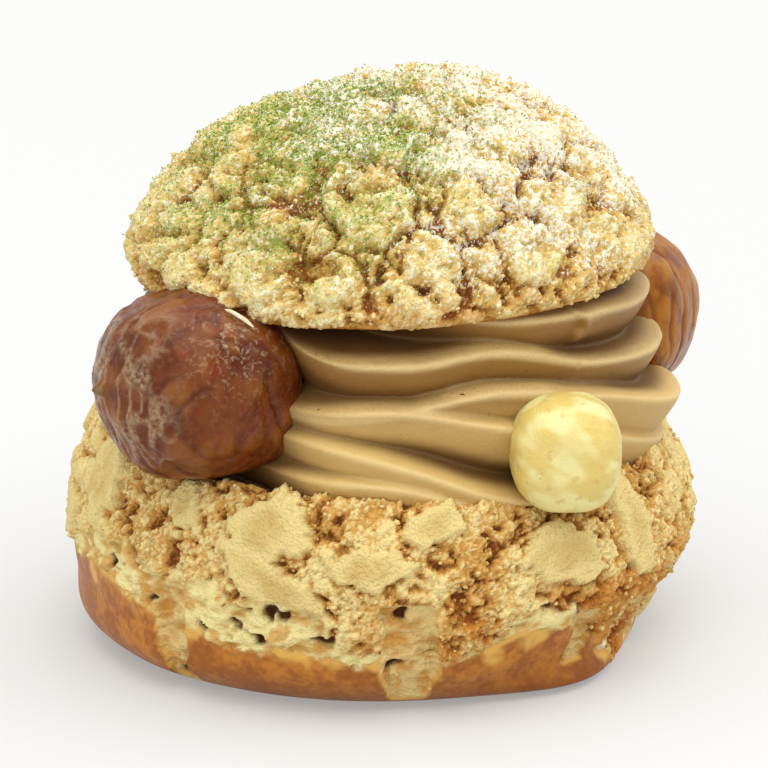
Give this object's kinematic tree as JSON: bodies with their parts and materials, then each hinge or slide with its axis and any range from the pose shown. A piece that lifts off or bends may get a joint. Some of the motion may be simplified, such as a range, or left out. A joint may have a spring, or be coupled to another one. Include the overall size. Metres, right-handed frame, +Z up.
{
  "type": "filled choux bun",
  "caption": "Round choux bun with a cracked sugar crust, cut through and filled with piped nut cream, candied chestnuts and a hazelnut; it rests on its flat underside.",
  "frame": {"origin": "on the table under the middle of the bun, in the plane of its flat underside", "axes": "+Z up through the cream and the cap, -Y towards the front of the bun with the hazelnut, +X to the right as seen from the front"},
  "size_m": [0.0836, 0.0827, 0.0737],
  "materials": {
    "choux_base": "baked choux, satin on the skin and dry on the crust",
    "craquelin_cap": "dry crumbly sugar crust",
    "nut_cream": "smooth satin cream",
    "candied_chestnut_dark": "wet sugar glaze",
    "candied_chestnut_amber": "wet sugar glaze, translucent",
    "blanched_hazelnut": "waxy satin"
  },
  "bodies": {
    "root": {"bun_base": "choux_base", "bun_cap": "craquelin_cap", "cream": "nut_cream", "chestnut_left": "candied_chestnut_dark", "chestnut_right": "candied_chestnut_amber", "hazelnut": "blanched_hazelnut"}
  },
  "joints": []
}
